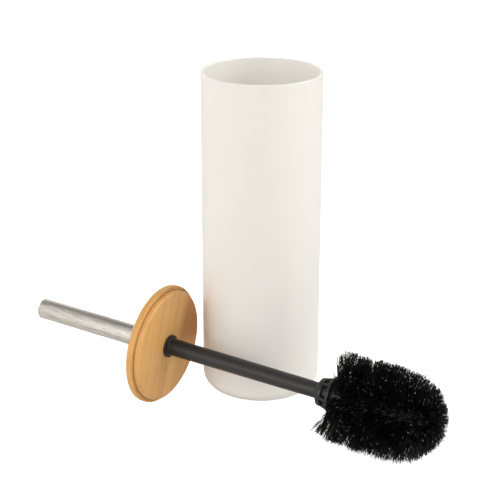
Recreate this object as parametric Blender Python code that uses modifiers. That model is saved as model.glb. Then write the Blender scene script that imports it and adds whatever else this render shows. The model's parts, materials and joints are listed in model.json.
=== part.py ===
"""Toilet brush holder: a tall moulded cup, and its brush with a bamboo lid.

The brush lies on the floor beside the cup, on the rim of its lid and on its bristles.
It is modelled upright on its own axis, as it hangs in the cup: the lid's flange rests at
height 0, the handle stands above it and the rod and head hang below. Then one empty lays
it down. Everything is in metres, +Z up, with the origin under the middle of the cup.
"""

import math

import bmesh
import bpy
from mathutils import Matrix, Vector

FIT_GAP = 0.0003                 # between pieces that touch or run in each other

# Cup: injection moulded, with a slight draft, open at the top
CUP_HEIGHT = 0.2752
RIM_RADIUS = 0.050
CUP_DRAFT = 0.0006               # how much narrower the foot is than the rim
WALL = 0.0025
FLOOR = 0.003
FOOT_ROUNDING = 0.0127
RIM_ROUNDING = 0.0009

# Lid: bamboo, turned with a flange that rests on the rim and a plug that drops inside it
LID_OVERHANG = 0.0003            # how far the flange stands out past the rim
LID_FLANGE = 0.006
LID_PLUG = 0.0047
LID_TOP_ROUNDING = 0.002
LID_UNDER_ROUNDING = 0.0012
LID_PLUG_ROUNDING = 0.002
LID_PLUG_CLEARANCE = 0.0005

# Studs: threaded steel. One runs through the lid, from the handle into the rod, and a
# smaller one joins the rod to the head
STUD_RADIUS = 0.004
STUD_IN_HANDLE = 0.0125
STUD_IN_ROD = 0.018
HEAD_STUD_RADIUS = 0.003
HEAD_STUD_IN_ROD = 0.014
HEAD_STUD_IN_HEAD = 0.012
STUD_CHAMFER = 0.0006

# Handle: steel tube with a threaded insert below and a cap welded over its upper end
HANDLE_LENGTH = 0.1195
HANDLE_RADIUS = 0.0088
HANDLE_WALL = 0.001
INSERT_LENGTH = 0.015
CAP_THICKNESS = 0.0032
CAP_ROUNDING = 0.0026
CAP_SPIGOT = 0.005

# Rod: moulded, tapered, with a collar under the lid and a bore for a stud in each end
ROD_LENGTH = 0.1408
ROD_TOP_RADIUS = 0.0072
ROD_END_RADIUS = 0.0066
COLLAR_RADIUS = 0.0096
COLLAR_THICKNESS = 0.0021
COLLAR_ROUNDING = 0.0006
COLLAR_FILLET = 0.0011

# Head core: moulded in one with its ferrule, which is two flanges with ribs between them
FERRULE_RADIUS = 0.0117
FERRULE_THICKNESS = 0.005
FERRULE_SHOULDER = 0.0022
FERRULE_ROUNDING = 0.0006
RIB_ZONE = 0.0058
RIB_THICKNESS = 0.0024
RIB_PAIRS = 3
RIB_INSET = 0.0006
NECK_RADIUS = 0.008
FLANGE_RADIUS = 0.0148
FLANGE_THICKNESS = 0.0022
CORE_RADIUS = 0.0085
CORE_TIP = 0.0075
CORE_TIP_ROUNDING = 0.006

# Bristles: rows of tufts round the core, and a crown of tufts over its tip
BRISTLE_RADIUS = 0.0372
ROW_COUNT = 11
ROW_PITCH = 0.00667
CROWN_LENGTH = 0.0206
DOME_LENGTH = 0.0408

# Where the brush lies, in plan: its heading, and how far it passes from the cup
BRUSH_HEADING = math.radians(-29.3)
ROD_PASSING_GAP = 0.0136
LID_PASSING_GAP = 0.0074

# How finely round pieces are divided
CUP_STEPS = 72
LID_STEPS = 72
SHAFT_STEPS = 32
BRISTLE_STEPS = 36
ARC_STEPS = 5
DOME_STEPS = 7

# Sizes that follow from the ones above
BASE_RADIUS = RIM_RADIUS - CUP_DRAFT
LID_RADIUS = RIM_RADIUS + LID_OVERHANG
LID_PLUG_RADIUS = RIM_RADIUS - WALL - LID_PLUG_CLEARANCE
HANDLE_SEAT = LID_FLANGE + FIT_GAP
ROD_SEAT = -(LID_PLUG + FIT_GAP)
HEAD_SEAT = ROD_SEAT - ROD_LENGTH - FIT_GAP
FERRULE_LENGTH = FERRULE_THICKNESS + RIB_ZONE + FLANGE_THICKNESS
FIELD_TOP = FERRULE_LENGTH + FIT_GAP
CROWN_TOP = FIELD_TOP + ROW_COUNT * ROW_PITCH
CORE_LENGTH = CROWN_TOP + CORE_TIP
FIELD_END = CROWN_TOP + CROWN_LENGTH
DOME_TOP = FIELD_END - DOME_LENGTH


def clear_scene():
    """Removes every object that is in the file."""
    for old in list(bpy.data.objects):
        bpy.data.objects.remove(old, do_unlink=True)


def collection(name):
    """A new collection in the scene."""
    made = bpy.data.collections.new(name)
    bpy.context.scene.collection.children.link(made)
    return made


def material(name, colour, roughness, metallic=0.0):
    """A Principled material of one colour."""
    made = bpy.data.materials.new(name)
    made.use_nodes = True
    shader = made.node_tree.nodes["Principled BSDF"]
    shader.inputs["Base Color"].default_value = (*colour, 1.0)
    shader.inputs["Roughness"].default_value = roughness
    shader.inputs["Metallic"].default_value = metallic
    return made


def rounded(corners):
    """The outline through (radius, height, rounding) corners, with an arc at each rounded one."""
    points = []
    for index, (radius, height, rounding) in enumerate(corners):
        corner = Vector((radius, height))
        if rounding == 0:
            points.append(corner)
            continue
        to_last = (Vector(corners[index - 1][:2]) - corner).normalized()
        to_next = (Vector(corners[(index + 1) % len(corners)][:2]) - corner).normalized()
        half_angle = to_last.angle(to_next) / 2
        centre = corner + (to_last + to_next).normalized() * rounding / math.sin(half_angle)
        start = corner + to_last * rounding / math.tan(half_angle) - centre
        end = corner + to_next * rounding / math.tan(half_angle) - centre
        sweep = math.atan2(start.cross(end), start.dot(end))
        for step in range(ARC_STEPS + 1):
            points.append(centre + Matrix.Rotation(sweep * step / ARC_STEPS, 2) @ start)
    return points


def add_object(name, mesh, parent, height, finish, group):
    """An object for a mesh, on its parent's axis at a height along it."""
    made = bpy.data.objects.new(name, mesh)
    made.parent = parent
    made.location = (0, 0, height)
    mesh.materials.append(finish)
    group.objects.link(made)
    return made


def turned(name, outline, steps, parent, height, finish, group, ring=False):
    """A turned piece: its outline runs down its outer side, and a ring's closes on itself."""
    mesh = bpy.data.meshes.new(name)
    edges = [(index, index + 1) for index in range(len(outline) - 1)]
    if ring:
        edges.append((len(outline) - 1, 0))
    mesh.from_pydata([(point[0], 0, point[1]) for point in outline], edges, [])
    made = add_object(name, mesh, parent, height, finish, group)
    screw = made.modifiers.new("turn", "SCREW")
    screw.steps = steps
    screw.render_steps = steps
    screw.use_merge_vertices = True
    screw.merge_threshold = 0.000001
    screw.use_smooth_shade = True
    return made


def empty(name, parent, height, group):
    """An empty on its parent's axis, for the pieces that move together."""
    made = bpy.data.objects.new(name, None)
    made.parent = parent
    made.location = (0, 0, height)
    group.objects.link(made)
    return made


def field_radius(depth):
    """Radius of the bristles' tips at a depth below the top of the head: straight, then domed."""
    into_dome = max(0.0, depth - DOME_TOP) / DOME_LENGTH
    return BRISTLE_RADIUS * math.sqrt(1.0 - into_dome ** 2)


def row_edges(index):
    """Depths of a row's upper and lower edges below the top of the head."""
    top = FIELD_TOP + index * ROW_PITCH
    return top, top + ROW_PITCH - FIT_GAP


def make_cup(finish, group):
    """The cup: one moulding, with its floor, a rounded foot and a rounded rim."""
    outline = rounded([
        (0, FLOOR, 0),
        (BASE_RADIUS - WALL, FLOOR, FOOT_ROUNDING - WALL),
        (RIM_RADIUS - WALL, CUP_HEIGHT, RIM_ROUNDING),
        (RIM_RADIUS, CUP_HEIGHT, RIM_ROUNDING),
        (BASE_RADIUS, 0, FOOT_ROUNDING),
        (0, 0, 0),
    ])
    turned("holder_cup", outline, CUP_STEPS, None, 0, finish, group)


def make_lid(parent, finish, group):
    """The lid: a flange and a plug turned from one disc, bored for the stud."""
    bore = STUD_RADIUS + FIT_GAP
    outline = rounded([
        (bore, LID_FLANGE, 0),
        (LID_RADIUS, LID_FLANGE, LID_TOP_ROUNDING),
        (LID_RADIUS, 0, LID_UNDER_ROUNDING),
        (LID_PLUG_RADIUS, 0, 0),
        (LID_PLUG_RADIUS, -LID_PLUG, LID_PLUG_ROUNDING),
        (bore, -LID_PLUG, 0),
    ])
    turned("lid", outline, LID_STEPS, parent, 0, finish, group, ring=True)


def make_stud(name, radius, top, bottom, parent, finish, group):
    """A headless stud from a top height to a bottom height, its ends chamfered."""
    outline = [
        (0, top),
        (radius - STUD_CHAMFER, top),
        (radius, top - STUD_CHAMFER),
        (radius, bottom + STUD_CHAMFER),
        (radius - STUD_CHAMFER, bottom),
        (0, bottom),
    ]
    turned(name, outline, SHAFT_STEPS, parent, 0, finish, group)


def make_handle(parent, steel, insert_finish, group):
    """The handle: a tube, the insert pressed in its lower end and the cap on its upper end."""
    tube_length = HANDLE_LENGTH - CAP_THICKNESS - FIT_GAP
    tube_bore = HANDLE_RADIUS - HANDLE_WALL
    tube = [
        (HANDLE_RADIUS, tube_length),
        (HANDLE_RADIUS, 0),
        (tube_bore, 0),
        (tube_bore, tube_length),
    ]
    turned("handle_tube", tube, SHAFT_STEPS, parent, 0, steel, group, ring=True)

    insert_radius = tube_bore - FIT_GAP
    insert_bore = STUD_RADIUS + FIT_GAP
    insert = [
        (insert_radius, INSERT_LENGTH),
        (insert_radius, 0),
        (insert_bore, 0),
        (insert_bore, INSERT_LENGTH),
    ]
    turned("handle_insert", insert, SHAFT_STEPS, parent, 0, insert_finish, group, ring=True)

    cap_seat = HANDLE_LENGTH - CAP_THICKNESS
    cap = rounded([
        (0, CAP_THICKNESS, 0),
        (HANDLE_RADIUS, CAP_THICKNESS, CAP_ROUNDING),
        (HANDLE_RADIUS, 0, 0),
        (tube_bore - FIT_GAP, 0, 0),
        (tube_bore - FIT_GAP, -CAP_SPIGOT, 0),
        (0, -CAP_SPIGOT, 0),
    ])
    turned("handle_end_cap", cap, SHAFT_STEPS, parent, cap_seat, steel, group)


def make_rod(parent, finish, group):
    """The rod: collar and taper in one moulding, with a blind bore for a stud in each end."""
    top_bore = STUD_RADIUS + FIT_GAP
    top_depth = STUD_IN_ROD + FIT_GAP
    end_bore = HEAD_STUD_RADIUS + FIT_GAP
    end_depth = HEAD_STUD_IN_ROD + FIT_GAP
    outline = rounded([
        (0, -top_depth, 0),
        (top_bore, -top_depth, 0),
        (top_bore, 0, 0),
        (COLLAR_RADIUS, 0, 0),
        (COLLAR_RADIUS, -COLLAR_THICKNESS, COLLAR_ROUNDING),
        (ROD_TOP_RADIUS, -COLLAR_THICKNESS, COLLAR_FILLET),
        (ROD_END_RADIUS, -ROD_LENGTH, 0),
        (end_bore, -ROD_LENGTH, 0),
        (end_bore, end_depth - ROD_LENGTH, 0),
        (0, end_depth - ROD_LENGTH, 0),
    ])
    turned("rod", outline, SHAFT_STEPS, parent, ROD_SEAT, finish, group)


def make_rib_bar(index, parent, finish, cutters):
    """A bar across the ferrule, which stands out of its neck as two opposite ribs."""
    top = -FERRULE_THICKNESS / 2
    bottom = -FERRULE_LENGTH + FLANGE_THICKNESS / 2
    shape = bmesh.new()
    bmesh.ops.create_cube(shape, size=1)
    for corner in shape.verts:
        upper = corner.co.z > 0
        reach = (FERRULE_RADIUS if upper else FLANGE_RADIUS) - RIB_INSET
        corner.co.x = math.copysign(reach, corner.co.x)
        corner.co.y *= RIB_THICKNESS
        corner.co.z = top if upper else bottom
    mesh = bpy.data.meshes.new(f"rib_bar_{index}")
    shape.to_mesh(mesh)
    shape.free()
    bar = add_object(f"rib_bar_{index}", mesh, parent, 0, finish, cutters)
    bar.rotation_euler.z = math.pi * (index + 0.5) / RIB_PAIRS
    bar.hide_render = True
    bar.display_type = "WIRE"
    return bar


def make_head_core(parent, finish, group, cutters):
    """The core: ferrule, neck and tapered tip are turned, ribs are added, the socket is bored."""
    outline = rounded([
        (0, 0, 0),
        (FERRULE_RADIUS, 0, FERRULE_SHOULDER),
        (FERRULE_RADIUS, -FERRULE_THICKNESS, FERRULE_ROUNDING),
        (NECK_RADIUS, -FERRULE_THICKNESS, 0),
        (NECK_RADIUS, -FERRULE_THICKNESS - RIB_ZONE, 0),
        (FLANGE_RADIUS, -FERRULE_THICKNESS - RIB_ZONE, 0),
        (FLANGE_RADIUS, -FERRULE_LENGTH, 0),
        (CORE_RADIUS, -FERRULE_LENGTH, 0),
        (CORE_RADIUS, -CORE_LENGTH, CORE_TIP_ROUNDING),
        (0, -CORE_LENGTH, 0),
    ])
    core = turned("head_core", outline, SHAFT_STEPS, parent, 0, finish, group)
    for index in range(RIB_PAIRS):
        rib = core.modifiers.new("rib", "BOOLEAN")
        rib.operation = "UNION"
        rib.solver = "EXACT"
        rib.object = make_rib_bar(index, parent, finish, cutters)

    socket_radius = HEAD_STUD_RADIUS + FIT_GAP
    socket_depth = HEAD_STUD_IN_HEAD + FIT_GAP
    socket = [
        (0, FIT_GAP),
        (socket_radius, FIT_GAP),
        (socket_radius, -socket_depth),
        (0, -socket_depth),
    ]
    cutter = turned("socket_cutter", socket, SHAFT_STEPS, parent, 0, finish, cutters)
    cutter.hide_render = True
    cutter.display_type = "WIRE"
    bore = core.modifiers.new("socket", "BOOLEAN")
    bore.operation = "DIFFERENCE"
    bore.solver = "EXACT"
    bore.object = cutter


def make_bristle_rows(parent, finish, group):
    """Each row of tufts as the plain ring of space that it fills, from the core to the tips."""
    root = CORE_RADIUS + FIT_GAP
    for index in range(ROW_COUNT):
        top, bottom = row_edges(index)
        ring = [
            (root, -top),
            (field_radius(top), -top),
            (field_radius(bottom), -bottom),
            (root, -bottom),
        ]
        name = f"bristle_row_{index + 1:02d}"
        turned(name, ring, BRISTLE_STEPS, parent, 0, finish, group, ring=True)


def make_bristle_crown(parent, finish, group):
    """The crown of tufts over the core's tip: a dome with a pocket that clears the tip."""
    root = CORE_RADIUS + FIT_GAP
    pocket = rounded([
        (0, -CORE_LENGTH - FIT_GAP, 0),
        (root, -CORE_LENGTH - FIT_GAP, CORE_TIP_ROUNDING),
        (root, -CROWN_TOP, 0),
    ])
    dome = []
    first = math.asin((CROWN_TOP - DOME_TOP) / DOME_LENGTH)
    for step in range(DOME_STEPS + 1):
        angle = first + (math.pi / 2 - first) * step / DOME_STEPS
        dome.append((BRISTLE_RADIUS * math.cos(angle), -DOME_TOP - DOME_LENGTH * math.sin(angle)))
    dome[-1] = (0, -FIELD_END)
    turned("bristle_crown", pocket + dome, BRISTLE_STEPS, parent, 0, finish, group)


def lay_down(brush):
    """Lays the brush on the floor, on the lid's rim and on the first row that touches it."""
    rim_depth = -LID_UNDER_ROUNDING
    edges = [depth for index in range(ROW_COUNT) for depth in row_edges(index)]
    tilts = [
        math.atan2(LID_RADIUS - field_radius(depth), depth - HEAD_SEAT - rim_depth)
        for depth in edges
    ]
    tilt = min(tilts)
    height = rim_depth * math.sin(tilt) + LID_RADIUS * math.cos(tilt)

    aside = RIM_RADIUS + ROD_PASSING_GAP + ROD_TOP_RADIUS
    back = math.sqrt(RIM_RADIUS ** 2 - (aside - LID_RADIUS) ** 2) + LID_PASSING_GAP
    ahead = Vector((math.cos(BRUSH_HEADING), math.sin(BRUSH_HEADING), 0))
    sideways = Vector((math.sin(BRUSH_HEADING), -math.cos(BRUSH_HEADING), 0))
    brush.location = sideways * aside - ahead * back + Vector((0, 0, height))
    brush.rotation_euler = (0, tilt - math.pi / 2, BRUSH_HEADING)


def build():
    """Makes every piece and lays the brush beside the cup."""
    clear_scene()
    parts = collection("toilet_brush_holder")
    cutters = collection("cutters")

    cream = material("cream_plastic", (0.838, 0.815, 0.745), 0.35)
    bamboo = material("lacquered_bamboo", (0.658, 0.371, 0.144), 0.45)
    brushed = material("brushed_steel", (0.58, 0.56, 0.53), 0.35, 1.0)
    zinc = material("zinc_plated_steel", (0.62, 0.63, 0.64), 0.3, 1.0)
    rod_black = material("satin_black_plastic", (0.042, 0.040, 0.036), 0.4)
    head_black = material("black_plastic", (0.020, 0.019, 0.019), 0.45)
    white_nylon = material("natural_nylon", (0.75, 0.74, 0.70), 0.5)
    bristle_black = material("black_filament", (0.008, 0.008, 0.008), 0.6)

    make_cup(cream, parts)

    brush = empty("brush_axis", None, 0, parts)
    make_lid(brush, bamboo, parts)
    make_rod(brush, rod_black, parts)

    handle_end = HANDLE_SEAT + STUD_IN_HANDLE
    rod_end = ROD_SEAT - STUD_IN_ROD
    make_stud("joining_stud", STUD_RADIUS, handle_end, rod_end, brush, zinc, parts)

    handle = empty("handle_axis", brush, HANDLE_SEAT, parts)
    make_handle(handle, brushed, white_nylon, parts)

    head = empty("head_axis", brush, HEAD_SEAT, parts)
    make_stud(
        "head_stud", HEAD_STUD_RADIUS, HEAD_STUD_IN_ROD, -HEAD_STUD_IN_HEAD, head, zinc, parts
    )
    make_head_core(head, head_black, parts, cutters)
    make_bristle_rows(head, bristle_black, parts)
    make_bristle_crown(head, bristle_black, parts)

    lay_down(brush)


build()
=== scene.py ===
"""The looks of a toilet brush holder: a tall moulded cup, and its brush lying beside it.

Each section is one piece, or one group of like pieces, in the order in which they are put
together. Lengths are in metres, +Z up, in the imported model's frame. The brush's pieces are
made standing on the brush's own axis, with the lid's underside at height 0, the handle
above it and the head below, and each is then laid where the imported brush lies.
"""

import json
import math

import bmesh
import bpy
import numpy as np
from mathutils import Matrix, Vector


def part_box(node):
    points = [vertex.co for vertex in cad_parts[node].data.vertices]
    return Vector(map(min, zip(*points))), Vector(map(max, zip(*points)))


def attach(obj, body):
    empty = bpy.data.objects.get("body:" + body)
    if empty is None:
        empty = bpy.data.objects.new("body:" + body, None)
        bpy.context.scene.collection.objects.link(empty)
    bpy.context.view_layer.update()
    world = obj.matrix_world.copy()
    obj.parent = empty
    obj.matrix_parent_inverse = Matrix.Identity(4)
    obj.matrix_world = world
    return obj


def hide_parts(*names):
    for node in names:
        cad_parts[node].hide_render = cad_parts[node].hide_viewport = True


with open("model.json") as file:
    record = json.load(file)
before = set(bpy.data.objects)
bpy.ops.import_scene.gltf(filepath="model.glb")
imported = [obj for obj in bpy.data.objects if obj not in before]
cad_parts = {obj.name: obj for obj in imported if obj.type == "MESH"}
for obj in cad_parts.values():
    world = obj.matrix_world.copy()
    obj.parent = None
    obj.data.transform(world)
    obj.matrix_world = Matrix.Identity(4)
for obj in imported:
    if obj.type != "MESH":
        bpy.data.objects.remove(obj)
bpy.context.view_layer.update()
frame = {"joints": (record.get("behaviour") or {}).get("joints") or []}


# ---- Studio ------------------------------------------------------------------------
# A white floor that runs out to white, and far soft lights: the two main ones over the
# camera and at the right, and low ones all round that light the sweep. The ceiling is
# left dark, which gives the steel its dark band. None of it belongs to the object.

CAMERA_PLACE = Vector((-0.00946, -1.1955, 0.5588))
CAMERA_PITCH = math.radians(20.11)
CAMERA_ROLL = math.radians(0.084)
CAMERA_LENS = 108.9
CAMERA_SENSOR = 36.0
CAMERA_NEAR = 0.01

FLOOR_HALF = 6.0
FLOOR_DROP = 0.0002              # keeps the floor just under what stands on it
FLOOR_WHITE = (0.80, 0.80, 0.79, 1.0)
FLOOR_GLOW_SEEN = 0.90           # how bright the floor shows beyond what lights it

WORLD_SEEN = (1.0, 1.0, 1.0, 1.0)
LIGHT_HALF_ANGLE = math.radians(30)
LIGHT_CORE_ANGLE = math.radians(7.5)
SOFT_LIGHTS = [
    # bearing from the camera's side round to the right, height above the floor, brightness
    (0, 40, 2.39), (90, 40, 3.22), (180, 40, 0.20), (270, 40, 0.34), (315, 40, 0.45),
    (90, 68, 0.27), (270, 68, 0.29), (90, 12, 2.60), (120, 12, 0.62), (150, 12, 0.36),
    (180, 12, 1.09), (210, 12, 1.08), (240, 12, 2.29), (270, 12, 0.29), (300, 12, 0.34),
    (330, 12, 2.75),
]


def add_node(tree, kind, settings=None, values=None, links=None):
    """A shader node with its settings, its unlinked inputs' values and its inputs' links."""
    made = tree.nodes.new(kind)
    for name, value in (settings or {}).items():
        setattr(made, name, value)
    for name, value in (values or {}).items():
        made.inputs[name].default_value = value
    for name, source in (links or {}).items():
        tree.links.new(source, made.inputs[name])
    return made


def eased(tree, value, start, end, lowest=0.0, highest=1.0):
    """A value mapped from start and end to lowest and highest, eased at both ends."""
    return add_node(
        tree, "ShaderNodeMapRange", {"interpolation_type": "SMOOTHSTEP"},
        {"From Min": start, "From Max": end, "To Min": lowest, "To Max": highest},
        {"Value": value},
    ).outputs["Result"]


def add_object(name, data, place=None):
    """An object for some data, at a place or at the origin."""
    made = bpy.data.objects.new(name, data)
    bpy.context.scene.collection.objects.link(made)
    if place is not None:
        made.matrix_world = place
    return made


camera = add_object("camera", bpy.data.cameras.new("camera"))
camera.data.lens = CAMERA_LENS
camera.data.sensor_width = CAMERA_SENSOR
camera.data.clip_start = CAMERA_NEAR
camera.matrix_world = (
    Matrix.Translation(CAMERA_PLACE)
    @ Matrix.Rotation(math.pi / 2 - CAMERA_PITCH, 4, "X")
    @ Matrix.Rotation(CAMERA_ROLL, 4, "Z")
)
bpy.context.scene.camera = camera
bpy.context.scene.view_settings.view_transform = "Standard"

world = bpy.data.worlds.new("studio")
world.use_nodes = True
bpy.context.scene.world = world
sky = world.node_tree
sky.nodes.clear()
towards = add_node(sky, "ShaderNodeTexCoord")
brightness = None
for bearing, height, strength in SOFT_LIGHTS:
    turn = math.radians(bearing)
    rise = math.radians(height)
    place = (math.sin(turn) * math.cos(rise), -math.cos(turn) * math.cos(rise), math.sin(rise))
    nearness = add_node(
        sky, "ShaderNodeVectorMath", {"operation": "DOT_PRODUCT"}, {1: place},
        {0: towards.outputs["Generated"]},
    )
    light = eased(
        sky, nearness.outputs["Value"], math.cos(LIGHT_HALF_ANGLE), math.cos(LIGHT_CORE_ANGLE),
        highest=strength,
    )
    if brightness is None:
        brightness = light
    else:
        brightness = add_node(
            sky, "ShaderNodeMath", {"operation": "ADD"}, links={0: brightness, 1: light}
        ).outputs["Value"]
path = add_node(sky, "ShaderNodeLightPath")
seen_world = add_node(
    sky, "ShaderNodeMix", {"data_type": "RGBA"}, {"B": WORLD_SEEN},
    {"Factor": path.outputs["Is Camera Ray"], "A": brightness},
)
backdrop = add_node(sky, "ShaderNodeBackground", links={"Color": seen_world.outputs["Result"]})
add_node(sky, "ShaderNodeOutputWorld", links={"Surface": backdrop.outputs["Background"]})

floor_shape = bmesh.new()
bmesh.ops.create_grid(floor_shape, x_segments=2, y_segments=2, size=FLOOR_HALF)
floor_mesh = bpy.data.meshes.new("studio_floor")
floor_shape.to_mesh(floor_mesh)
floor_shape.free()
floor = add_object("studio_floor", floor_mesh, Matrix.Translation((0, 0, -FLOOR_DROP)))
floor_paint = bpy.data.materials.new("studio_white")
floor_paint.use_nodes = True
floor_tree = floor_paint.node_tree
floor_tree.nodes.clear()
matt = add_node(floor_tree, "ShaderNodeBsdfDiffuse", values={"Color": FLOOR_WHITE})
floor_path = add_node(floor_tree, "ShaderNodeLightPath")
glow_strength = add_node(
    floor_tree, "ShaderNodeMapRange", None,
    {"To Min": 0.0, "To Max": FLOOR_GLOW_SEEN},
    {"Value": floor_path.outputs["Is Camera Ray"]},
)
glow = add_node(
    floor_tree, "ShaderNodeEmission", links={"Strength": glow_strength.outputs["Result"]}
)
both = add_node(
    floor_tree, "ShaderNodeAddShader",
    links={0: matt.outputs["BSDF"], 1: glow.outputs["Emission"]},
)
add_node(floor_tree, "ShaderNodeOutputMaterial", links={"Surface": both.outputs["Shader"]})
floor_mesh.materials.append(floor_paint)


# ---- Cup ---------------------------------------------------------------------------
# The cup is one injection moulding in cream plastic, semi-gloss, 2.5 mm thick, with a
# slight draft, a generously rounded foot and a fine rounded rim. It stands on its foot.

CUP_STEPS = 192
CUP_WALL = 0.0025
CUP_FLOOR = 0.003
CUP_DRAFT = 0.0006               # how much smaller the foot's radius is than the rim's
FOOT_ROUNDING = 0.0127
RIM_ROUNDING = 0.0009
CUP_CREAM = (0.836, 0.800, 0.742, 1.0)
CUP_CREAM_DEEP = (0.814, 0.776, 0.720, 1.0)
CUP_INSIDE_PAINTED_LIGHT = (0.860, 0.826, 0.768, 1.0)  # painted light: a lighter cream down inside
INSIDE_FACING = 0.8              # share of the radius at which a surface counts as wholly inside
CUP_FINISH = {
    "roughness": 0.30, "smudged_roughness": 0.33, "skin_scale": 900.0, "skin_depth": 0.00003,
}


def rounded(corners, arc_steps=8):
    """The outline through (radius, height, rounding) corners, with an arc at each rounded one."""
    points = []
    for index, (radius, height, rounding) in enumerate(corners):
        corner = Vector((radius, height))
        if rounding == 0:
            points.append(corner)
            continue
        to_last = (Vector(corners[index - 1][:2]) - corner).normalized()
        to_next = (Vector(corners[(index + 1) % len(corners)][:2]) - corner).normalized()
        half_angle = to_last.angle(to_next) / 2
        centre = corner + (to_last + to_next).normalized() * rounding / math.sin(half_angle)
        start = corner + to_last * rounding / math.tan(half_angle) - centre
        end = corner + to_next * rounding / math.tan(half_angle) - centre
        sweep = math.atan2(start.cross(end), start.dot(end))
        for step in range(arc_steps + 1):
            points.append(centre + Matrix.Rotation(sweep * step / arc_steps, 2) @ start)
    return points


def turned(name, outline, steps, ring=False, shaped=None, smooth_under=40):
    """A mesh turned about +Z from its outline. shaped(radius, height, turn) may move the radius."""
    shape = bmesh.new()
    rings = []
    for step in range(steps):
        turn = step / steps
        angle = 2 * math.pi * turn
        ring_verts = []
        for radius, height in outline:
            reach = shaped(radius, height, turn) if shaped else radius
            place = (reach * math.cos(angle), reach * math.sin(angle), height)
            ring_verts.append(shape.verts.new(place))
        rings.append(ring_verts)
    spans = [(index, index + 1) for index in range(len(outline) - 1)]
    if ring:
        spans.append((len(outline) - 1, 0))
    for step in range(steps):
        here = rings[step]
        there = rings[(step + 1) % steps]
        for upper, lower in spans:
            shape.faces.new((here[upper], here[lower], there[lower], there[upper]))
    bmesh.ops.remove_doubles(shape, verts=shape.verts, dist=1e-7)
    bmesh.ops.recalc_face_normals(shape, faces=shape.faces)
    mesh = bpy.data.meshes.new(name)
    shape.to_mesh(mesh)
    shape.free()
    mesh.shade_smooth()
    mesh.set_sharp_from_angle(angle=math.radians(smooth_under))
    return mesh


def new_material(name, metallic, roughness):
    """A material's node tree and its Principled shader, with the constants set on its sockets."""
    made = bpy.data.materials.new(name)
    made.use_nodes = True
    shader = made.node_tree.nodes["Principled BSDF"]
    shader.inputs["Metallic"].default_value = metallic
    shader.inputs["Roughness"].default_value = roughness
    return made, made.node_tree, shader


def new_group(name, inputs, outputs):
    """A shader node group with named value or vector inputs and outputs, and its two ends."""
    group = bpy.data.node_groups.new(name, "ShaderNodeTree")
    for socket, kind in inputs.items():
        group.interface.new_socket(socket, in_out="INPUT", socket_type=kind)
    for socket, kind in outputs.items():
        group.interface.new_socket(socket, in_out="OUTPUT", socket_type=kind)
    return group, group.nodes.new("NodeGroupInput"), group.nodes.new("NodeGroupOutput")


# Moulded skin: the faint texture of the mould's steel, the slower unevenness of plastic
# that shrank in it, and the handling smudges that change its gloss. Scale is in texture
# cells a metre.
moulded_skin, skin_in, skin_out = new_group(
    "moulded_skin",
    {"Vector": "NodeSocketVector", "Skin Scale": "NodeSocketFloat", "Mottle Scale": "NodeSocketFloat"},
    {"Height": "NodeSocketFloat", "Mottle": "NodeSocketFloat", "Smudge": "NodeSocketFloat"},
)
fine = add_node(
    moulded_skin, "ShaderNodeTexNoise", None, {"Detail": 3.0, "Roughness": 0.6},
    {"Vector": skin_in.outputs["Vector"], "Scale": skin_in.outputs["Skin Scale"]},
)
mottle = add_node(
    moulded_skin, "ShaderNodeTexNoise", None, {"Detail": 2.0},
    {"Vector": skin_in.outputs["Vector"], "Scale": skin_in.outputs["Mottle Scale"]},
)
smudge = add_node(
    moulded_skin, "ShaderNodeTexNoise", None, {"Scale": 38.0, "Detail": 4.0, "Distortion": 0.6},
    {"Vector": skin_in.outputs["Vector"]},
)
smudged = eased(moulded_skin, smudge.outputs["Fac"], start=0.25, end=0.80)
moulded_skin.links.new(fine.outputs["Fac"], skin_out.inputs["Height"])
moulded_skin.links.new(mottle.outputs["Fac"], skin_out.inputs["Mottle"])
moulded_skin.links.new(smudged, skin_out.inputs["Smudge"])


def moulded_plastic(name, colour, deep_colour, roughness, smudged_roughness, skin_scale, skin_depth):
    """Moulded plastic: two close colours mottled together, smudged gloss and a fine skin."""
    made, tree, shader = new_material(name, metallic=0.0, roughness=roughness)
    places = add_node(tree, "ShaderNodeTexCoord")
    skin = add_node(
        tree, "ShaderNodeGroup", {"node_tree": moulded_skin},
        {"Skin Scale": skin_scale, "Mottle Scale": 30.0}, {"Vector": places.outputs["Object"]},
    )
    tint = add_node(
        tree, "ShaderNodeMix", {"data_type": "RGBA"}, {"A": deep_colour, "B": colour},
        {"Factor": skin.outputs["Mottle"]},
    )
    gloss = add_node(
        tree, "ShaderNodeMapRange", None, {"To Min": roughness, "To Max": smudged_roughness},
        {"Value": skin.outputs["Smudge"]},
    )
    relief = add_node(
        tree, "ShaderNodeBump", None, {"Strength": 1.0, "Distance": skin_depth},
        {"Height": skin.outputs["Height"]},
    )
    tree.links.new(tint.outputs["Result"], shader.inputs["Base Color"])
    tree.links.new(gloss.outputs["Result"], shader.inputs["Roughness"])
    tree.links.new(relief.outputs["Normal"], shader.inputs["Normal"])
    return made


def tint_over(material, colour, share):
    """A second colour over a material's own, where a value between 0 and 1 says."""
    tree = material.node_tree
    shader = tree.nodes["Principled BSDF"]
    own = shader.inputs["Base Color"].links[0].from_socket
    laid_over = add_node(
        tree, "ShaderNodeMix", {"data_type": "RGBA"}, {"B": colour}, {"Factor": share, "A": own}
    )
    tree.links.new(laid_over.outputs["Result"], shader.inputs["Base Color"])


cup_radius, _, cup_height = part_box("holder_cup")[1]
cup_outline = rounded([
    (0, CUP_FLOOR, 0),
    (cup_radius - CUP_DRAFT - CUP_WALL, CUP_FLOOR, FOOT_ROUNDING - CUP_WALL),
    (cup_radius - CUP_WALL, cup_height, RIM_ROUNDING),
    (cup_radius, cup_height, RIM_ROUNDING),
    (cup_radius - CUP_DRAFT, 0, FOOT_ROUNDING),
    (0, 0, 0),
])
cup = add_object("cup", turned("cup", cup_outline, CUP_STEPS))
cream = moulded_plastic("cream_moulding", CUP_CREAM, CUP_CREAM_DEEP, **CUP_FINISH)

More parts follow.
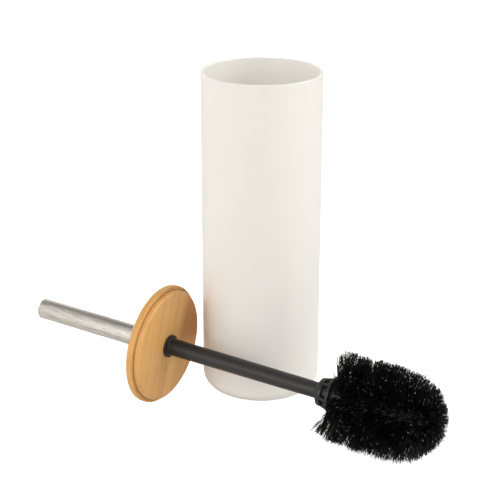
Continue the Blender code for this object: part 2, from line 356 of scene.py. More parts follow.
# The place out from the cup's middle, along the surface's normal: about the radius on the
# outer wall, and about the radius below zero on the inner one.
cup_place = add_node(cream.node_tree, "ShaderNodeTexCoord")
cup_sideways = add_node(
    cream.node_tree, "ShaderNodeVectorMath", {"operation": "MULTIPLY"}, {1: (1.0, 1.0, 0.0)},
    {0: cup_place.outputs["Object"]},
)
cup_facing = add_node(
    cream.node_tree, "ShaderNodeVectorMath", {"operation": "DOT_PRODUCT"},
    links={0: cup_sideways.outputs["Vector"], 1: cup_place.outputs["Normal"]},
)
painted_inside_light = eased(
    cream.node_tree, cup_facing.outputs["Value"], 0.0, -INSIDE_FACING * cup_radius
)
# Painted light: the inner wall is painted a lighter cream, for the light that comes through the thin
# wall and bounces inside.
tint_over(cream, CUP_INSIDE_PAINTED_LIGHT, painted_inside_light)
cup.data.materials.append(cream)
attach(cup, "holder")
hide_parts("holder_cup")


# ---- Lid ---------------------------------------------------------------------------
# The lid is a disc turned from edge-glued bamboo strips and lacquered. Its flange rests
# on the cup's rim and its plug drops inside the rim. A stud through its middle holds it.

LID_STEPS = 192
LID_OVERHANG = 0.0003
LID_FLANGE = 0.006
LID_PLUG = 0.0047
LID_TOP_ROUNDING = 0.002
LID_UNDER_ROUNDING = 0.0012
LID_PLUG_ROUNDING = 0.002
LID_PLUG_CLEARANCE = 0.0005
LID_BORE = 0.0043
STEP_ROUNDING = 0.0005
FIT_GAP = 0.0003                 # between pieces that are screwed up against each other
HANDLE_SEAT = LID_FLANGE + FIT_GAP
GRAIN_LEAN = math.radians(15.2)
FACE_EDGE = 0.0008               # above this height over the plug's face the wood is rim
FACE_LEVEL = 0.0001              # and under this one it is face
SEAM_ACROSS = -0.0195            # where the glue seam lies, across the grain from the middle
SEAM_HALF_WIDTH = 0.0010
SEAM_START = -0.016              # it comes up from here along the grain
SEAM_WHOLE = -0.002
SEAM_SHARE = 0.42                # how much of the dark colour each mark takes
DASH_SHARE = 0.40
STEP_SHADE_SHARE = 0.70
STEP_SHADE_REACH = 0.0012              # how far the painted shade in the step between flange and plug reaches
STEP_SHADE_CORE = 0.0002
PAINTED_LIGHT_START = -0.030               # painted light: the face is painted paler across the grain, towards the cup, from here
PAINTED_LIGHT_END = 0.022                # to here
PAINTED_LIGHT_DEPTH = 0.55                 # how much deeper it is painted at that start
RIM_TONE = 0.66                  # and on the turned rim
BAND_SHARE = 0.35                # how much broad bands and fine fibres deepen it
FIBRE_SHARE = 0.30
CUP_SHADE_EDGE = 0.006               # painted shadow of the cup: a darker strip comes up across the grain, from here
CUP_SHADE_FULL = 0.024               # to here
CUP_SHADE_START = -0.010             # and along the grain, from here
CUP_SHADE_WHOLE = 0.012              # to here
CUP_SHADE_SHARE = 0.75
BAMBOO_LIGHT = (0.970, 0.570, 0.205, 1.0)
BAMBOO_BODY = (0.700, 0.360, 0.104, 1.0)
BAMBOO_IN_CUP_SHADE = (0.520, 0.195, 0.058, 1.0)
BAMBOO_DARK = (0.240, 0.100, 0.020, 1.0)

# The brush's own frame: up and across, and its axis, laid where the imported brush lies.
joints = {joint["name"]: joint for joint in frame["joints"]}
brush_axis = Vector(joints["handle_unscrew"]["axis"]).normalized()
brush_across = brush_axis.cross(Vector((0, 0, 1))).normalized()
brush_up = brush_across.cross(brush_axis)
laid = Matrix((brush_up, brush_across, brush_axis)).transposed().to_4x4()
laid.translation = Vector(joints["handle_unscrew"]["pos_m"]) - brush_axis * HANDLE_SEAT


def product(tree, first, second):
    """One value times another."""
    return add_node(
        tree, "ShaderNodeMath", {"operation": "MULTIPLY"}, links={0: first, 1: second}
    ).outputs["Value"]


def with_share(tree, base, value, share, clamped=False):
    """A base value with a share of another value on top."""
    return add_node(
        tree, "ShaderNodeMath", {"operation": "MULTIPLY_ADD", "use_clamp": clamped}, {1: share},
        {0: value, 2: base},
    ).outputs["Value"]


def bamboo(name):
    """Lacquered bamboo strips, with painted light paler across the grain towards the cup,
    and a painted shadow of the cup as a darker strip.

    Long fibres, short dark dashes and a glue seam mark it, and a painted shade darkens the step.
    """
    made, tree, shader = new_material(name, metallic=0.0, roughness=0.42)
    shader.inputs["Coat Weight"].default_value = 0.20
    shader.inputs["Coat Roughness"].default_value = 0.30
    places = add_node(tree, "ShaderNodeTexCoord")
    turning = add_node(
        tree, "ShaderNodeSeparateXYZ", links={"Vector": places.outputs["Object"]}
    )
    grain = add_node(
        tree, "ShaderNodeVectorRotate", {"rotation_type": "Z_AXIS"}, {"Angle": -GRAIN_LEAN},
        {"Vector": places.outputs["Object"]},
    )
    in_grain = add_node(tree, "ShaderNodeSeparateXYZ", links={"Vector": grain.outputs["Vector"]})
    along_grain = in_grain.outputs["X"]
    across_grain = in_grain.outputs["Y"]

    def streaks(scale, detail, lowest, highest):
        """Long streaks in the grain: noise stretched along it, between two levels."""
        stretched = add_node(
            tree, "ShaderNodeMapping", None, {"Scale": scale}, {"Vector": grain.outputs["Vector"]}
        )
        noise = add_node(
            tree, "ShaderNodeTexNoise", None,
            {"Scale": 1.0, "Detail": detail, "Roughness": 0.62},
            {"Vector": stretched.outputs["Vector"]},
        )
        return eased(tree, noise.outputs["Fac"], lowest, highest)

    fibres = streaks(scale=(14.0, 850.0, 850.0), detail=4.0, lowest=0.25, highest=0.75)
    bands = streaks(scale=(6.0, 95.0, 95.0), detail=2.0, lowest=0.25, highest=0.75)
    dashes = streaks(scale=(75.0, 620.0, 620.0), detail=1.0, lowest=0.60, highest=0.70)
    dash_zone = streaks(scale=(30.0, 60.0, 60.0), detail=1.0, lowest=0.46, highest=0.60)

    on_face = eased(tree, turning.outputs["Z"], FACE_EDGE - LID_PLUG, FACE_LEVEL - LID_PLUG)
    from_seam = add_node(
        tree, "ShaderNodeMath", {"operation": "SUBTRACT"}, {1: SEAM_ACROSS}, {0: across_grain}
    )
    seam_gap = add_node(
        tree, "ShaderNodeMath", {"operation": "ABSOLUTE"}, links={0: from_seam.outputs["Value"]}
    )
    seam_line = eased(tree, seam_gap.outputs["Value"], SEAM_HALF_WIDTH, 0.0)
    seam_stretch = eased(tree, along_grain, SEAM_START, SEAM_WHOLE)
    seam = product(tree, product(tree, seam_line, on_face), seam_stretch)

    sideways = add_node(
        tree, "ShaderNodeVectorMath", {"operation": "MULTIPLY"}, {1: (1.0, 1.0, 0.0)},
        {0: places.outputs["Object"]},
    )
    from_axis = add_node(
        tree, "ShaderNodeVectorMath", {"operation": "LENGTH"}, links={0: sideways.outputs["Vector"]}
    )
    # Painted shade in the step between the flange and the plug.
    near_plug = eased(
        tree, from_axis.outputs["Value"], plug_radius + STEP_SHADE_REACH, plug_radius + STEP_SHADE_CORE
    )
    step_height = add_node(
        tree, "ShaderNodeMath", {"operation": "ABSOLUTE"}, links={0: turning.outputs["Z"]}
    )
    at_step = eased(tree, step_height.outputs["Value"], STEP_SHADE_REACH, STEP_SHADE_CORE)
    step_shade = product(tree, near_plug, at_step)

    # Painted light: paler across the grain towards the cup, lifting the shade that the cup casts on
    # the face.
    deeper = eased(tree, across_grain, PAINTED_LIGHT_START, PAINTED_LIGHT_END, PAINTED_LIGHT_DEPTH, 0.0)
    rim_tone_and_painted_light = add_node(
        tree, "ShaderNodeMix", None, {"A": RIM_TONE}, {"Factor": on_face, "B": deeper}
    )
    banded = with_share(tree, rim_tone_and_painted_light.outputs["Result"], bands, BAND_SHARE)
    wood_and_painted_light = add_node(
        tree, "ShaderNodeMix", {"data_type": "RGBA"}, {"A": BAMBOO_LIGHT, "B": BAMBOO_BODY},
        {"Factor": with_share(tree, banded, fibres, FIBRE_SHARE)},
    )
    # Painted shadow of the cup: a darker strip on the face near the cup.
    cup_shade_across = eased(tree, across_grain, CUP_SHADE_EDGE, CUP_SHADE_FULL, highest=CUP_SHADE_SHARE)
    cup_shade_along = eased(tree, along_grain, CUP_SHADE_START, CUP_SHADE_WHOLE)
    wood = add_node(
        tree, "ShaderNodeMix", {"data_type": "RGBA"}, {"B": BAMBOO_IN_CUP_SHADE},
        {"Factor": product(tree, cup_shade_across, cup_shade_along), "A": wood_and_painted_light.outputs["Result"]},
    )
    dark_dashes = add_node(
        tree, "ShaderNodeMath", {"operation": "MULTIPLY"}, {1: DASH_SHARE},
        {0: product(tree, dashes, dash_zone)},
    )
    marks = with_share(tree, dark_dashes.outputs["Value"], seam, SEAM_SHARE)
    marks_and_step_shade = with_share(tree, marks, step_shade, STEP_SHADE_SHARE, clamped=True)
    marked = add_node(
        tree, "ShaderNodeMix", {"data_type": "RGBA"}, {"B": BAMBOO_DARK},
        {"Factor": marks_and_step_shade, "A": wood.outputs["Result"]},
    )
    gloss = add_node(
        tree, "ShaderNodeMapRange", None, {"To Min": 0.38, "To Max": 0.54}, {"Value": fibres}
    )
    relief = add_node(
        tree, "ShaderNodeBump", None, {"Strength": 0.6, "Distance": 0.00006}, {"Height": fibres}
    )
    tree.links.new(marked.outputs["Result"], shader.inputs["Base Color"])
    tree.links.new(gloss.outputs["Result"], shader.inputs["Roughness"])
    tree.links.new(relief.outputs["Normal"], shader.inputs["Normal"])
    return made


lid_radius = cup_radius + LID_OVERHANG
plug_radius = cup_radius - CUP_WALL - LID_PLUG_CLEARANCE
lid_outline = rounded([
    (LID_BORE, LID_FLANGE, 0),
    (lid_radius, LID_FLANGE, LID_TOP_ROUNDING),
    (lid_radius, 0, LID_UNDER_ROUNDING),
    (plug_radius, 0, STEP_ROUNDING),
    (plug_radius, -LID_PLUG, LID_PLUG_ROUNDING),
    (LID_BORE, -LID_PLUG, 0),
])
lid = add_object("bamboo_lid", turned("bamboo_lid", lid_outline, LID_STEPS, ring=True), laid)
lid.data.materials.append(bamboo("lacquered_bamboo_strips"))
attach(lid, "brush")
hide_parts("lid")


# ---- Studs -------------------------------------------------------------------------
# Two zinc-plated steel studs with rolled threads, cut off square and chamfered. An M8
# one runs through the lid, from the handle into the rod. An M6 one joins rod and head.

THREAD_STEPS = 48
THREAD_SLICES = 10               # heights in one turn of a thread
THREAD_DEPTH = 0.61              # depth of a metric thread, in pitches
THREAD_FLAT = 0.14               # share of a pitch that is flat, at the crest and at the root
LID_STUD = {"radius": 0.004, "pitch": 0.00125}
HEAD_STUD = {"radius": 0.003, "pitch": 0.001}
STUD_CHAMFER = 0.0006
ROD_SEAT = -(LID_PLUG + FIT_GAP)
STUD_IN_HANDLE = 0.0125
STUD_IN_ROD = 0.018
HEAD_STUD_IN_ROD = 0.014
HEAD_STUD_IN_HEAD = 0.012
ZINC = (0.62, 0.63, 0.64, 1.0)
ZINC_DULL = (0.44, 0.45, 0.45, 1.0)


def thread_cut(height, turn, pitch):
    """How deep a metric thread is cut at a height and a share of a turn, from 0 to 1."""
    phase = (height / pitch - turn) % 1.0
    ramp = abs(phase - 0.5) * 2.0
    return min(1.0, max(0.0, (ramp - THREAD_FLAT) / (1.0 - 2.0 * THREAD_FLAT)))


def stud_mesh(name, top, bottom, radius, pitch):
    """A headless threaded stud between two heights."""
    slices = round((top - bottom) / pitch * THREAD_SLICES)
    heights = [top + (bottom - top) * index / slices for index in range(slices + 1)]
    outline = [(0, top)] + [(radius, height) for height in heights] + [(0, bottom)]

    def threaded(reach, height, turn):
        if reach == 0:
            return 0
        chamfer = radius - STUD_CHAMFER + min(top - height, height - bottom)
        cut = radius - THREAD_DEPTH * pitch * thread_cut(height, turn, pitch)
        return min(chamfer, cut)

    return turned(name, outline, THREAD_STEPS, shaped=threaded, smooth_under=60)


def zinc_plate(name):
    """Zinc plating: bright grey mottled with a duller grey, its gloss varying with a fine skin."""
    made, tree, shader = new_material(name, metallic=1.0, roughness=0.3)
    places = add_node(tree, "ShaderNodeTexCoord")
    skin = add_node(
        tree, "ShaderNodeGroup", {"node_tree": moulded_skin},
        {"Skin Scale": 2500.0, "Mottle Scale": 400.0}, {"Vector": places.outputs["Object"]},
    )
    tint = add_node(
        tree, "ShaderNodeMix", {"data_type": "RGBA"}, {"A": ZINC, "B": ZINC_DULL},
        {"Factor": skin.outputs["Mottle"]},
    )
    gloss = add_node(
        tree, "ShaderNodeMapRange", None, {"To Min": 0.22, "To Max": 0.42},
        {"Value": skin.outputs["Height"]},
    )
    relief = add_node(
        tree, "ShaderNodeBump", None, {"Strength": 0.5, "Distance": 0.00002},
        {"Height": skin.outputs["Height"]},
    )
    tree.links.new(tint.outputs["Result"], shader.inputs["Base Color"])
    tree.links.new(gloss.outputs["Result"], shader.inputs["Roughness"])
    tree.links.new(relief.outputs["Normal"], shader.inputs["Normal"])
    return made


zinc = zinc_plate("zinc_plate")
head_seat = (Vector(joints["head_unscrew"]["pos_m"]) - laid.translation).dot(brush_axis)
studs = [
    ("lid_stud", HANDLE_SEAT + STUD_IN_HANDLE, ROD_SEAT - STUD_IN_ROD, LID_STUD,
     "handle_thread", "joining_stud"),
    ("brush_head_stud", head_seat + HEAD_STUD_IN_ROD, head_seat - HEAD_STUD_IN_HEAD, HEAD_STUD,
     "head_thread", "head_stud"),
]
for name, top, bottom, thread, body, node in studs:
    stud = add_object(name, stud_mesh(name, top, bottom, **thread), laid)
    stud.data.materials.append(zinc)
    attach(stud, body)
    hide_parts(node)


# ---- Handle ------------------------------------------------------------------------
# The handle is a stainless tube, brushed along its length, with an end cap welded on and
# ground flush, so the two show as one. A threaded nylon bush, pressed in its lower end,
# takes the stud.

HANDLE_STEPS = 128
HANDLE_LENGTH = 0.1195
HANDLE_RADIUS = 0.0088
HANDLE_WALL = 0.001
HANDLE_EDGE = 0.0003
CAP_ROUNDING = 0.0026
CAP_THICKNESS = 0.0032
BUSH_STEPS = 96
BUSH_LENGTH = 0.015
BUSH_BORE = 0.0043
BUSH_EDGE = 0.0004
SCRATCH_SCALE = (2600.0, 2600.0, 22.0)  # in texture cells a metre, drawn out lengthwise
STREAK_SCALE = (950.0, 950.0, 70.0)
STEEL = (0.820, 0.770, 0.705, 1.0)
STEEL_STREAK = (0.600, 0.560, 0.500, 1.0)
NYLON = (0.75, 0.74, 0.70, 1.0)
NYLON_DEEP = (0.70, 0.69, 0.64, 1.0)
NYLON_FINISH = {
    "roughness": 0.45, "smudged_roughness": 0.52, "skin_scale": 1500.0, "skin_depth": 0.00003,
}


def brushed_steel(name):
    """Stainless steel brushed lengthwise: long fine scratches in its colour, gloss and relief."""
    made, tree, shader = new_material(name, metallic=1.0, roughness=0.3)
    places = add_node(tree, "ShaderNodeTexCoord")
    long_space = add_node(
        tree, "ShaderNodeMapping", None, {"Scale": SCRATCH_SCALE},
        {"Vector": places.outputs["Object"]},
    )
    scratches = add_node(
        tree, "ShaderNodeTexNoise", None, {"Scale": 1.0, "Detail": 3.0, "Roughness": 0.7},
        {"Vector": long_space.outputs["Vector"]},
    )
    broad_space = add_node(
        tree, "ShaderNodeMapping", None, {"Scale": STREAK_SCALE},
        {"Vector": places.outputs["Object"]},
    )
    streaks = add_node(
        tree, "ShaderNodeTexNoise", None, {"Scale": 1.0, "Detail": 4.0, "Roughness": 0.6},
        {"Vector": broad_space.outputs["Vector"]},
    )
    tint = add_node(
        tree, "ShaderNodeMix", {"data_type": "RGBA"}, {"A": STEEL, "B": STEEL_STREAK},
        {"Factor": eased(tree, streaks.outputs["Fac"], start=0.42, end=0.62)},
    )
    gloss = add_node(
        tree, "ShaderNodeMapRange", None, {"To Min": 0.36, "To Max": 0.54},
        {"Value": scratches.outputs["Fac"]},
    )
    relief = add_node(
        tree, "ShaderNodeBump", None, {"Strength": 0.9, "Distance": 0.00005},
        {"Height": scratches.outputs["Fac"]},
    )
    tree.links.new(tint.outputs["Result"], shader.inputs["Base Color"])
    tree.links.new(gloss.outputs["Result"], shader.inputs["Roughness"])
    tree.links.new(relief.outputs["Normal"], shader.inputs["Normal"])
    return made


handle_top = HANDLE_SEAT + HANDLE_LENGTH
handle_outline = rounded([
    (0, handle_top, 0),
    (HANDLE_RADIUS, handle_top, CAP_ROUNDING),
    (HANDLE_RADIUS, HANDLE_SEAT, HANDLE_EDGE),
    (HANDLE_RADIUS - HANDLE_WALL, HANDLE_SEAT, HANDLE_EDGE),
    (HANDLE_RADIUS - HANDLE_WALL, handle_top - CAP_THICKNESS, 0),
    (0, handle_top - CAP_THICKNESS, 0),
])
handle = add_object("handle", turned("handle", handle_outline, HANDLE_STEPS), laid)
handle.data.materials.append(brushed_steel("brushed_stainless"))
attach(handle, "handle")
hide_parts("handle_tube", "handle_end_cap")

bush_radius = HANDLE_RADIUS - HANDLE_WALL - FIT_GAP
bush_outline = rounded([
    (bush_radius, HANDLE_SEAT + BUSH_LENGTH, BUSH_EDGE),
    (bush_radius, HANDLE_SEAT, BUSH_EDGE),
    (BUSH_BORE, HANDLE_SEAT, BUSH_EDGE),
    (BUSH_BORE, HANDLE_SEAT + BUSH_LENGTH, BUSH_EDGE),
])
bush_mesh = turned("handle_bush", bush_outline, BUSH_STEPS, ring=True)
bush = add_object("handle_bush", bush_mesh, laid)
bush.data.materials.append(
    moulded_plastic("natural_nylon_moulding", NYLON, NYLON_DEEP, **NYLON_FINISH)
)
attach(bush, "handle")
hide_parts("handle_insert")


# ---- Rod ---------------------------------------------------------------------------
# The rod is moulded in charcoal plastic, satin, slightly tapered. A collar with a small
# fillet seats it against the lid, and the head's ferrule meets its lower end.

ROD_STEPS = 128
ROD_LENGTH = 0.1408
ROD_TOP_RADIUS = 0.0072
ROD_END_RADIUS = 0.0066
COLLAR_RADIUS = 0.0096
COLLAR_THICKNESS = 0.0021
COLLAR_ROUNDING = 0.0006
COLLAR_FILLET = 0.0011
ROD_EDGE = 0.0002
ROD_CHARCOAL = (0.024, 0.0195, 0.018, 1.0)
ROD_CHARCOAL_DEEP = (0.019, 0.016, 0.0145, 1.0)
ROD_PAINTED_LID_SHADE = (0.0025, 0.0020, 0.0018, 1.0)
ROD_FINISH = {
    "roughness": 0.38, "smudged_roughness": 0.46, "skin_scale": 1400.0, "skin_depth": 0.00004,
}
LID_SHADE_REACH = 0.042              # how far down from the collar the rod is painted darker, as the lid's shade
STUD_FIT = 0.0003                # how much wider a bore is than the stud in it, in radius

top_bore = LID_STUD["radius"] + STUD_FIT
end_bore = HEAD_STUD["radius"] + STUD_FIT
rod_end = ROD_SEAT - ROD_LENGTH
rod_outline = rounded([
    (0, ROD_SEAT - STUD_IN_ROD - STUD_FIT, 0),
    (top_bore, ROD_SEAT - STUD_IN_ROD - STUD_FIT, 0),
    (top_bore, ROD_SEAT, 0),
    (COLLAR_RADIUS, ROD_SEAT, ROD_EDGE),
    (COLLAR_RADIUS, ROD_SEAT - COLLAR_THICKNESS, COLLAR_ROUNDING),
    (ROD_TOP_RADIUS, ROD_SEAT - COLLAR_THICKNESS, COLLAR_FILLET),
    (ROD_END_RADIUS, rod_end, ROD_EDGE),
    (end_bore, rod_end, 0),
    (end_bore, rod_end + HEAD_STUD_IN_ROD + STUD_FIT, 0),
    (0, rod_end + HEAD_STUD_IN_ROD + STUD_FIT, 0),
])
rod = add_object("rod_shaft", turned("rod_shaft", rod_outline, ROD_STEPS), laid)
charcoal = moulded_plastic("charcoal_moulding", ROD_CHARCOAL, ROD_CHARCOAL_DEEP, **ROD_FINISH)
rod_place = add_node(charcoal.node_tree, "ShaderNodeTexCoord")
rod_height = add_node(
    charcoal.node_tree, "ShaderNodeSeparateXYZ", links={"Vector": rod_place.outputs["Object"]}
)
# Painted shade: the plastic is painted darker below the collar, for the shade of the lid.
painted_lid_shade = eased(
    charcoal.node_tree, rod_height.outputs["Z"],
    ROD_SEAT - LID_SHADE_REACH, ROD_SEAT - COLLAR_THICKNESS,
)
tint_over(charcoal, ROD_PAINTED_LID_SHADE, painted_lid_shade)
rod.data.materials.append(charcoal)
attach(rod, "brush")
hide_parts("rod")


# ---- Head core ---------------------------------------------------------------------
# The head's core is moulded in black plastic in one with its ferrule: a plain disc, six
# ribs that flare out, and a thin flange against the bristles. Tufts are set in the core.

CORE_STEPS = 96
FERRULE_RADIUS = 0.0117
FERRULE_THICKNESS = 0.005
FERRULE_SHOULDER = 0.0022
FERRULE_ROUNDING = 0.0006
RIB_ZONE = 0.0058
RIB_THICKNESS = 0.0024
RIB_PAIRS = 3
RIB_INSET = 0.0006
RIB_EDGE = 0.0004
NECK_RADIUS = 0.008
FLANGE_RADIUS = 0.0148
FLANGE_THICKNESS = 0.0022
FLANGE_EDGE = 0.0005
CORE_RADIUS = 0.0085
CORE_TIP = 0.0075
CORE_TIP_ROUNDING = 0.006
ROW_COUNT = 11
ROW_PITCH = 0.00667
CORE_BLACK = (0.020, 0.0195, 0.019, 1.0)
CORE_BLACK_DEEP = (0.014, 0.0135, 0.013, 1.0)
CORE_FINISH = {
    "roughness": 0.26, "smudged_roughness": 0.38, "skin_scale": 1600.0, "skin_depth": 0.00004,
}

ferrule_length = FERRULE_THICKNESS + RIB_ZONE + FLANGE_THICKNESS
field_top = ferrule_length + FIT_GAP
crown_top = field_top + ROW_COUNT * ROW_PITCH
core_length = crown_top + CORE_TIP
socket_radius = HEAD_STUD["radius"] + STUD_FIT
socket_depth = HEAD_STUD_IN_HEAD + STUD_FIT


def rib_bar(index):
    """A bar across the neck, which stands out of it as two opposite ribs with eased edges."""
    shape = bmesh.new()
    bmesh.ops.create_cube(shape, size=1)
    top = head_seat - FERRULE_THICKNESS / 2
    bottom = head_seat - ferrule_length + FLANGE_THICKNESS / 2
    for corner in shape.verts:
        upper = corner.co.z > 0
        reach = (FERRULE_RADIUS if upper else FLANGE_RADIUS) - RIB_INSET
        corner.co.x = math.copysign(reach, corner.co.x)
        corner.co.y *= RIB_THICKNESS
        corner.co.z = top if upper else bottom
    bmesh.ops.bevel(
        shape, geom=shape.edges, offset=RIB_EDGE, segments=3, profile=0.5, affect="EDGES"
    )
    turn = Matrix.Rotation(math.pi * (index + 0.5) / RIB_PAIRS, 4, "Z")
    bmesh.ops.transform(shape, matrix=turn, verts=shape.verts)
    mesh = bpy.data.meshes.new("rib_bar")
    shape.to_mesh(mesh)
    shape.free()
    return mesh


def joined(mesh, others):
    """A mesh united with others by exact Booleans, as one closed skin."""
    base = add_object("joined", mesh)
    helpers = [add_object("joining", other) for other in others]
    for helper in helpers:
        union = base.modifiers.new("union", "BOOLEAN")
        union.operation = "UNION"
        union.solver = "EXACT"
        union.object = helper
    result = bpy.data.meshes.new_from_object(
        base.evaluated_get(bpy.context.evaluated_depsgraph_get())
    )
    for helper in [base] + helpers:
        bpy.data.objects.remove(helper)
    return result


core_outline = rounded([
    (0, head_seat - socket_depth, 0),
    (socket_radius, head_seat - socket_depth, 0),
    (socket_radius, head_seat, 0),
    (FERRULE_RADIUS, head_seat, FERRULE_SHOULDER),
    (FERRULE_RADIUS, head_seat - FERRULE_THICKNESS, FERRULE_ROUNDING),
    (NECK_RADIUS, head_seat - FERRULE_THICKNESS, 0),
    (NECK_RADIUS, head_seat - FERRULE_THICKNESS - RIB_ZONE, 0),
    (FLANGE_RADIUS, head_seat - FERRULE_THICKNESS - RIB_ZONE, FLANGE_EDGE),
    (FLANGE_RADIUS, head_seat - ferrule_length, FLANGE_EDGE),
    (CORE_RADIUS, head_seat - ferrule_length, 0),
    (CORE_RADIUS, head_seat - core_length, CORE_TIP_ROUNDING),
    (0, head_seat - core_length, 0),
])
core_mesh = joined(
    turned("core_body", core_outline, CORE_STEPS), [rib_bar(index) for index in range(RIB_PAIRS)]
)
core_mesh.name = "ferrule_and_core"
core_mesh.shade_smooth()
core_mesh.set_sharp_from_angle(angle=math.radians(40))
core = add_object("ferrule_and_core", core_mesh, laid)
core.data.materials.append(
    moulded_plastic("black_moulding", CORE_BLACK, CORE_BLACK_DEEP, **CORE_FINISH)
)
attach(core, "head")
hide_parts("head_core")


# ---- Bristles ----------------------------------------------------------------------
# Black polymer filaments, half a millimetre thick, are folded into tufts and set in
# holes round the core and over its tip. Each tuft fans out, and the head is then trimmed
# to a cylinder with a domed end. Each row is a piece, and so is the crown over the tip.

BRISTLE_SEED = 26
TUFTS_IN_ROW = 14
FILAMENTS_IN_TUFT = 40
# The crown's rings of tufts: how far each leans from the head's axis, and its tufts.
CROWN_RINGS = [(0.05, 1), (0.42, 6), (0.80, 10), (1.12, 14), (1.40, 14)]
CROWN_TURN = 0.37                # how far the crown's rings are turned, as a share of a turn
FILAMENT_RADIUS = 0.00026
FILAMENT_TAPER = 0.25            # share of its width that a filament loses to its tip
FILAMENT_RINGS = 5
FILAMENT_SIDES = 3
LONGEST_FILAMENT = 0.08
HALVINGS = 24                    # of the span in which a filament's length is sought
HOLE_RADIUS = 0.0017
ROOT_DEPTH = 0.0008
AXIS_NEARNESS = 0.05             # a tuft that leans less than this points along the head
BRISTLE_RADIUS = 0.0372
DOME_LENGTH = 0.0408
CROWN_LENGTH = 0.0206
FAN = 0.22                       # how far a tuft fans along the head, as a slope
FIRST_FAN = 0.14                 # the same for the first row
CROWN_FAN = 0.16                 # and for the crown
ROUND_SHARE = 1.15               # how much further a tuft fans round the head than along it
PLACE_FAN = 0.75                 # share of the fan that follows a filament's place in its hole
OWN_FAN = 0.21                   # and the share in which filaments differ at random
TUFT_LEAN = 0.13                 # how far each whole tuft has been pushed over, as a slope
HOLE_TURN = 0.03                 # how unevenly the holes are set round the core, in radians
HOLE_LEAN = 0.035                # and how unevenly they point along it, as a slope
CROWN_UNEVEN = 0.04              # the same for the crown's holes, in radians
BEND = 0.0016                    # how far a filament's tip has bent aside
TRIM_SPREAD = 0.0008             # how unevenly single filaments are trimmed
TUFT_TRIM = 0.0012               # how far one tuft's trim differs from the next one's
STRAY_SHARE = 0.012              # share of the filaments that stand out and bend further
STRAY_EXTRA = 0.0020
STRAY_BEND = 3.5
FLOOR_CLEARANCE = 0.0002
LEAST_FALL = 1e-6                # a filament that falls less than this never meets the floor
LAST_ROWS = 3
LAST_ROW_LEAN = 0.16             # how far the last rows lean out towards the tip, as a slope
PRESSED_SIDE = math.radians(-61)  # the side that use has pressed towards the tip
PRESSED_LEAN = [0.50, 0.26, 0.12]  # how far, in the first rows, as slopes
# Tufts of the first row that use has bent back: how far, as a slope, and how they fan.
BENT_BACK = {0: (0.24, FIRST_FAN), 8: (0.20, FIRST_FAN), 9: (0.38, FAN)}
BENT_TRIM = 0.004                # how much less far they reach
BRISTLE_BLACK = (0.0022, 0.0022, 0.0022, 1.0)
BRISTLE_GREY = (0.0060, 0.0059, 0.0057, 1.0)
BRISTLE_PAINTED_GLINT = (0.50, 0.50, 0.50, 1.0)
GLINT_SHARE = 0.11               # share of the filaments with a painted glint on the cut end
GLINT_START = 0.965              # heights on a filament, as shares of its length
GLINT_WHOLE = 0.985
GREY_START = 0.80
TIP_GREY = 0.5                   # how much greyer a filament is at its tip
OWN_GREY = 0.35                  # and how much the filaments differ
UV_MARGIN = 0.02                 # filaments stand side by side on the map, in this margin
UV_SPAN = 0.90
UV_SIDE = 0.02
UV_CAP = 0.02

dome_top = crown_top + CROWN_LENGTH - DOME_LENGTH
lie = np.array(laid.to_3x3())
draw = np.random.default_rng(BRISTLE_SEED)


def beyond_trim(points):
    """Positive where points, as (x, y, depth), are outside the trimmed shape of the head."""
    across = np.hypot(points[:, 0], points[:, 1]) / BRISTLE_RADIUS
    into_dome = np.maximum(0.0, points[:, 2] - dome_top) / DOME_LENGTH
    return across ** 2 + into_dome ** 2 - 1.0


def trimmed_lengths(roots, ways):
    """How long each filament is when it ends on the trimmed shape."""
    short = np.zeros(len(roots))
    long = np.full(len(roots), LONGEST_FILAMENT)
    for _ in range(HALVINGS):
        middle = (short + long) / 2
        outside = beyond_trim(roots + ways * middle[:, None]) > 0
        long = np.where(outside, middle, long)
        short = np.where(outside, short, middle)
    return short


def tuft(base, outward, fan, trim, count):
    """Roots, directions and trims of a tuft's filaments, as (x, y, depth), round one hole."""
    down = np.array([0.0, 0.0, 1.0])
    side = np.cross(down, outward)
    if np.linalg.norm(side) < AXIS_NEARNESS:
        side = np.array([1.0, 0.0, 0.0])
    side /= np.linalg.norm(side)
    along = np.cross(outward, side)
    push = draw.normal(0.0, TUFT_LEAN, 2)
    outward = outward + push[0] * side + push[1] * along
    reach = np.sqrt(draw.random(count))
    turn = draw.random(count) * 2 * math.pi
    spots = np.stack([reach * np.cos(turn), reach * np.sin(turn)], axis=1)
    spread = spots * PLACE_FAN + draw.normal(0.0, OWN_FAN, (count, 2))
    roots = base + (spots[:, :1] * side + spots[:, 1:] * along) * HOLE_RADIUS
    ways = outward + (spread[:, :1] * side * ROUND_SHARE + spread[:, 1:] * along) * fan
    trims = np.full(count, -trim - abs(draw.normal(0.0, TUFT_TRIM)))
    return roots, ways / np.linalg.norm(ways, axis=1)[:, None], trims


